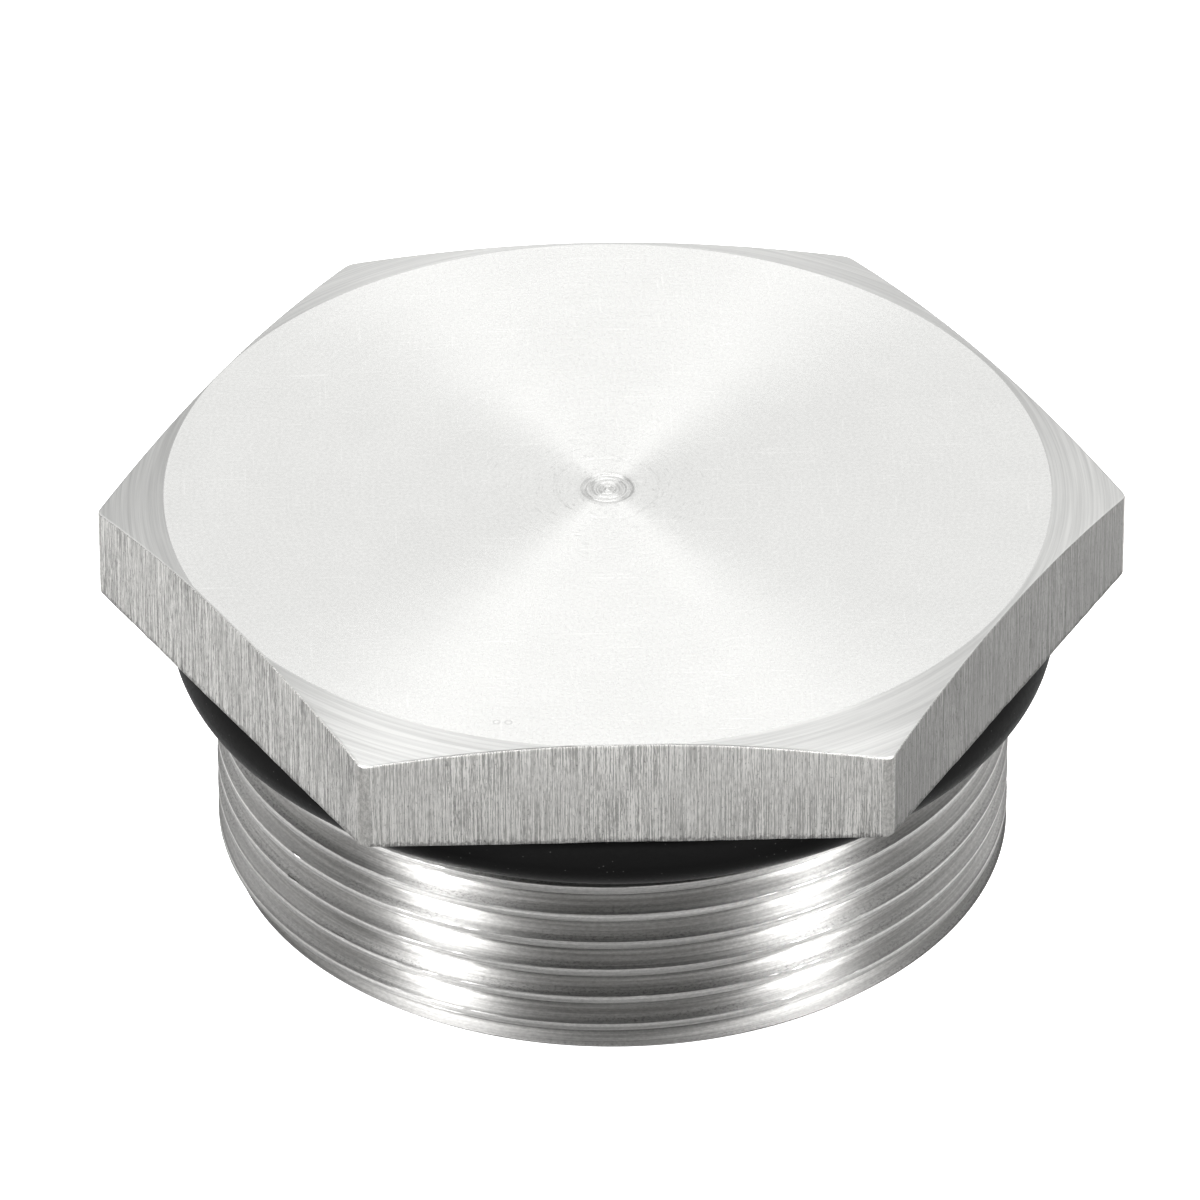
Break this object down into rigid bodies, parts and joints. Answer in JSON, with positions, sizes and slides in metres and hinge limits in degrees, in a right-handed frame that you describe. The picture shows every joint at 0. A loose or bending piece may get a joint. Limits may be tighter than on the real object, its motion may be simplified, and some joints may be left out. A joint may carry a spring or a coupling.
{
  "type": "hex head pipe plug",
  "caption": "Hexagonal head plug with a fine male thread and a rubber sealing ring under the head, for closing a threaded port.",
  "frame": {"origin": "centre of the flat end of the threaded shank, on which the plug stands", "axes": "+Z along the thread axis from the shank's end to the head; +Y and -Y are the outward normals of two opposite flats of the head, and two opposite corners lie on X"},
  "size_m": [0.046, 0.04, 0.0183],
  "materials": {
    "turned_metal": "bare turned metal with fine turning marks, flats left as drawn bar",
    "seal_rubber": "smooth black moulded rubber, slightly glossy"
  },
  "bodies": {
    "root": {"plug_body": "turned_metal", "sealing_ring": "seal_rubber"}
  },
  "joints": []
}
